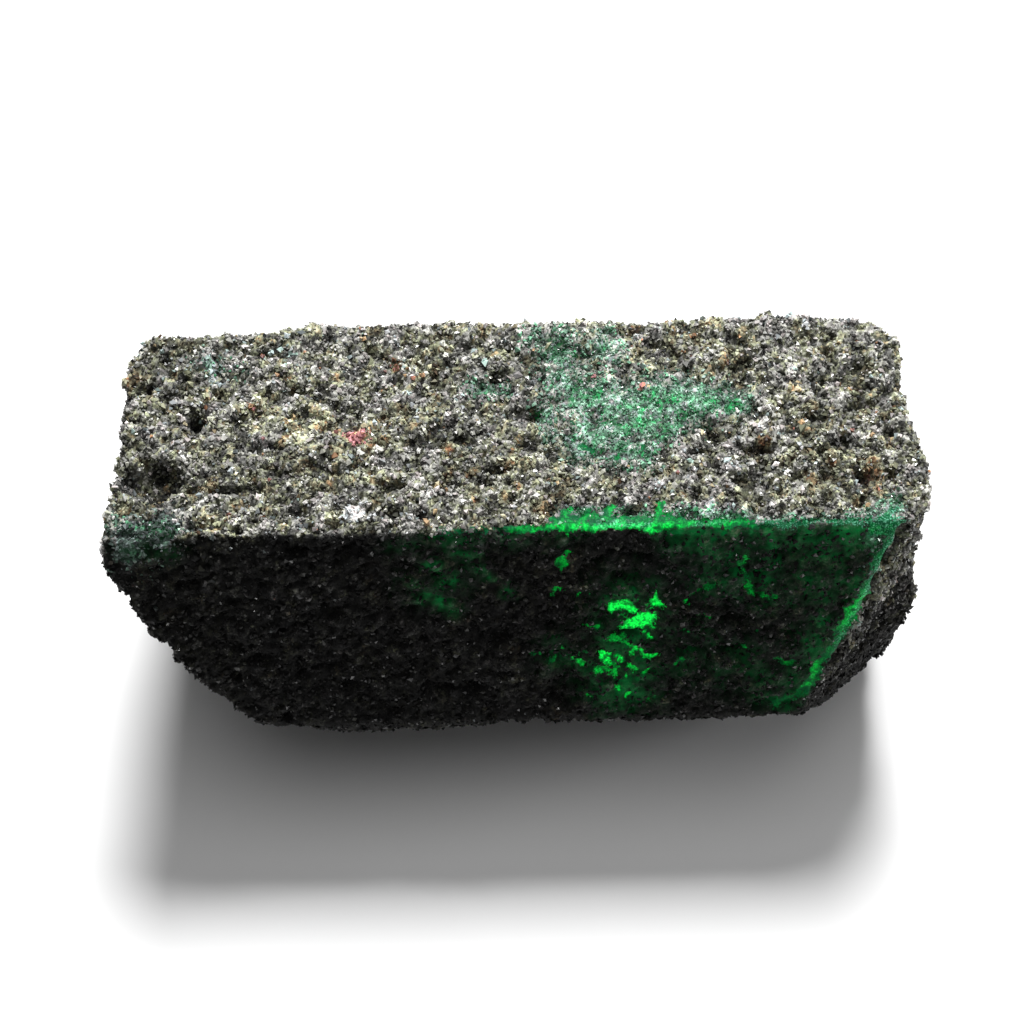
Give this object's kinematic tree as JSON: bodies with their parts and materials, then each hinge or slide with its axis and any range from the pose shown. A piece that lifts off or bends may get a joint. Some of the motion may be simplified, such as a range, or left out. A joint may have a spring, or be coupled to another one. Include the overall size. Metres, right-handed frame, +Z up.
{
  "type": "raw emerald crystal",
  "caption": "Rough hexagonal prism of emerald lying on a long side, coated in dark granular mica schist, with green beryl showing where the coating is thin.",
  "frame": {"origin": "centre of the bounding box at the resting face, on the surface the crystal lies on", "axes": "+X along the crystal's length, +Z up out of the resting face, -Y towards the side with the green windows"},
  "size_m": [0.081, 0.0462, 0.04],
  "materials": {
    "emerald_beryl": "dull to glassy green beryl, dusty where the crust came away",
    "schist_crust": "rough granular dark mica schist with grey and white sparkle",
    "mica_flakes": "small shiny mica flakes"
  },
  "bodies": {
    "root": {"emerald_crystal": "emerald_beryl"}
  },
  "joints": []
}
